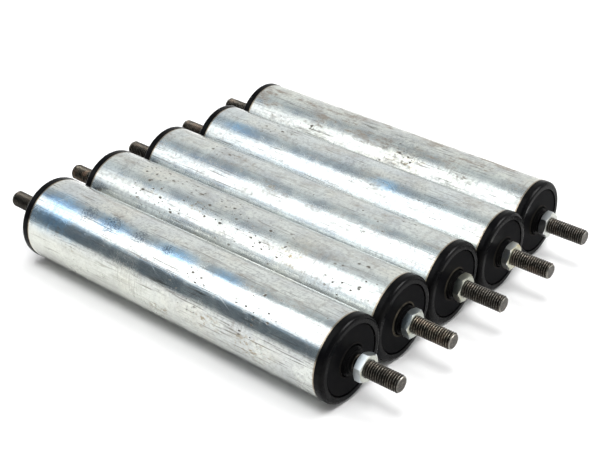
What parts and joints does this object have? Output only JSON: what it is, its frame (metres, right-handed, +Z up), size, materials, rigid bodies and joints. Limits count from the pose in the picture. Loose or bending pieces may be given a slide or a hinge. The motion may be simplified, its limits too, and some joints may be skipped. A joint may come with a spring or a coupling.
{
  "type": "gravity conveyor rollers",
  "caption": "Set of loose gravity conveyor rollers side by side: plated steel tubes, black flanged end housings, thin nuts and threaded studs.",
  "frame": {"origin": "on the floor, under the middle of the set", "axes": "+X along the rollers, +Y across the set, +Z up"},
  "size_m": [0.356, 0.3038, 0.0605],
  "materials": {
    "zinc_tube": "zinc plated, streaked and lightly pitted",
    "black_polymer": "moulded, satin to glossy",
    "cover_polymer": "moulded, matt",
    "bush_polymer": "moulded, satin",
    "stud_steel": "oiled dark thread with light rust",
    "zinc_nut": "bright zinc plated",
    "bearing_steel": "ground",
    "cage_polymer": "moulded"
  },
  "bodies": {
    "roller_1_spindle_set": {"roller_1_spindle": "stud_steel", "roller_1_nuts": "zinc_nut", "roller_1_inner_races": "bearing_steel", "roller_1_seal_bushes": "bush_polymer"},
    "roller_1_shell": {"roller_1_tube": "zinc_tube", "roller_1_right_housing": "black_polymer", "roller_1_left_housing": "black_polymer", "roller_1_right_dust_cover": "cover_polymer", "roller_1_left_dust_cover": "cover_polymer", "roller_1_outer_races": "bearing_steel"},
    "roller_1_ball_set": {"roller_1_cages": "cage_polymer", "roller_1_bearing_balls": "bearing_steel"},
    "roller_2_spindle_set": {"roller_2_spindle": "stud_steel", "roller_2_nuts": "zinc_nut", "roller_2_inner_races": "bearing_steel", "roller_2_seal_bushes": "bush_polymer"},
    "roller_2_shell": {"roller_2_tube": "zinc_tube", "roller_2_right_housing": "black_polymer", "roller_2_left_housing": "black_polymer", "roller_2_right_dust_cover": "cover_polymer", "roller_2_left_dust_cover": "cover_polymer", "roller_2_outer_races": "bearing_steel"},
    "roller_2_ball_set": {"roller_2_cages": "cage_polymer", "roller_2_bearing_balls": "bearing_steel"},
    "roller_3_spindle_set": {"roller_3_spindle": "stud_steel", "roller_3_nuts": "zinc_nut", "roller_3_inner_races": "bearing_steel", "roller_3_seal_bushes": "bush_polymer"},
    "roller_3_shell": {"roller_3_tube": "zinc_tube", "roller_3_right_housing": "black_polymer", "roller_3_left_housing": "black_polymer", "roller_3_right_dust_cover": "cover_polymer", "roller_3_left_dust_cover": "cover_polymer", "roller_3_outer_races": "bearing_steel"},
    "roller_3_ball_set": {"roller_3_cages": "cage_polymer", "roller_3_bearing_balls": "bearing_steel"},
    "roller_4_spindle_set": {"roller_4_spindle": "stud_steel", "roller_4_nuts": "zinc_nut", "roller_4_inner_races": "bearing_steel", "roller_4_seal_bushes": "bush_polymer"},
    "roller_4_shell": {"roller_4_tube": "zinc_tube", "roller_4_right_housing": "black_polymer", "roller_4_left_housing": "black_polymer", "roller_4_right_dust_cover": "cover_polymer", "roller_4_left_dust_cover": "cover_polymer", "roller_4_outer_races": "bearing_steel"},
    "roller_4_ball_set": {"roller_4_cages": "cage_polymer", "roller_4_bearing_balls": "bearing_steel"},
    "roller_5_spindle_set": {"roller_5_spindle": "stud_steel", "roller_5_nuts": "zinc_nut", "roller_5_inner_races": "bearing_steel", "roller_5_seal_bushes": "bush_polymer"},
    "roller_5_shell": {"roller_5_tube": "zinc_tube", "roller_5_right_housing": "black_polymer", "roller_5_left_housing": "black_polymer", "roller_5_right_dust_cover": "cover_polymer", "roller_5_left_dust_cover": "cover_polymer", "roller_5_outer_races": "bearing_steel"},
    "roller_5_ball_set": {"roller_5_cages": "cage_polymer", "roller_5_bearing_balls": "bearing_steel"}
  },
  "joints": [
    {"name": "roller_1_lift", "type": "slide", "parent": "roller_3_spindle_set", "child": "roller_1_spindle_set", "axis": [0, 0, 1], "range_m": [0, 0.12]},
    {"name": "roller_1_spin", "type": "hinge", "parent": "roller_1_spindle_set", "child": "roller_1_shell", "pos_m": [0.004, -0.1216, 0.03025], "axis": [1, 0, 0], "continuous": true},
    {"name": "roller_1_ball_orbit", "type": "hinge", "parent": "roller_1_spindle_set", "child": "roller_1_ball_set", "pos_m": [0.004, -0.1216, 0.03025], "axis": [1, 0, 0], "continuous": true},
    {"name": "roller_2_lift", "type": "slide", "parent": "roller_3_spindle_set", "child": "roller_2_spindle_set", "axis": [0, 0, 1], "range_m": [0, 0.12]},
    {"name": "roller_2_spin", "type": "hinge", "parent": "roller_2_spindle_set", "child": "roller_2_shell", "pos_m": [0.0008, -0.0608, 0.03025], "axis": [1, 0, 0], "continuous": true},
    {"name": "roller_2_ball_orbit", "type": "hinge", "parent": "roller_2_spindle_set", "child": "roller_2_ball_set", "pos_m": [0.0008, -0.0608, 0.03025], "axis": [1, 0, 0], "continuous": true},
    {"name": "roller_3_spin", "type": "hinge", "parent": "roller_3_spindle_set", "child": "roller_3_shell", "pos_m": [0.0008, 0, 0.03025], "axis": [1, 0, 0], "continuous": true},
    {"name": "roller_3_ball_orbit", "type": "hinge", "parent": "roller_3_spindle_set", "child": "roller_3_ball_set", "pos_m": [0.0008, 0, 0.03025], "axis": [1, 0, 0], "continuous": true},
    {"name": "roller_4_lift", "type": "slide", "parent": "roller_3_spindle_set", "child": "roller_4_spindle_set", "axis": [0, 0, 1], "range_m": [0, 0.12]},
    {"name": "roller_4_spin", "type": "hinge", "parent": "roller_4_spindle_set", "child": "roller_4_shell", "pos_m": [0.0024, 0.0608, 0.03025], "axis": [1, 0, 0], "continuous": true},
    {"name": "roller_4_ball_orbit", "type": "hinge", "parent": "roller_4_spindle_set", "child": "roller_4_ball_set", "pos_m": [0.0024, 0.0608, 0.03025], "axis": [1, 0, 0], "continuous": true},
    {"name": "roller_5_lift", "type": "slide", "parent": "roller_3_spindle_set", "child": "roller_5_spindle_set", "axis": [0, 0, 1], "range_m": [0, 0.12]},
    {"name": "roller_5_spin", "type": "hinge", "parent": "roller_5_spindle_set", "child": "roller_5_shell", "pos_m": [-0.0036, 0.1216, 0.03025], "axis": [1, 0, 0], "continuous": true},
    {"name": "roller_5_ball_orbit", "type": "hinge", "parent": "roller_5_spindle_set", "child": "roller_5_ball_set", "pos_m": [-0.0036, 0.1216, 0.03025], "axis": [1, 0, 0], "continuous": true}
  ],
  "couplings": [
    {"joint": "roller_1_ball_orbit", "follows": "roller_1_spin", "ratio": 0.627},
    {"joint": "roller_2_ball_orbit", "follows": "roller_2_spin", "ratio": 0.627},
    {"joint": "roller_3_ball_orbit", "follows": "roller_3_spin", "ratio": 0.627},
    {"joint": "roller_4_ball_orbit", "follows": "roller_4_spin", "ratio": 0.627},
    {"joint": "roller_5_ball_orbit", "follows": "roller_5_spin", "ratio": 0.627}
  ]
}
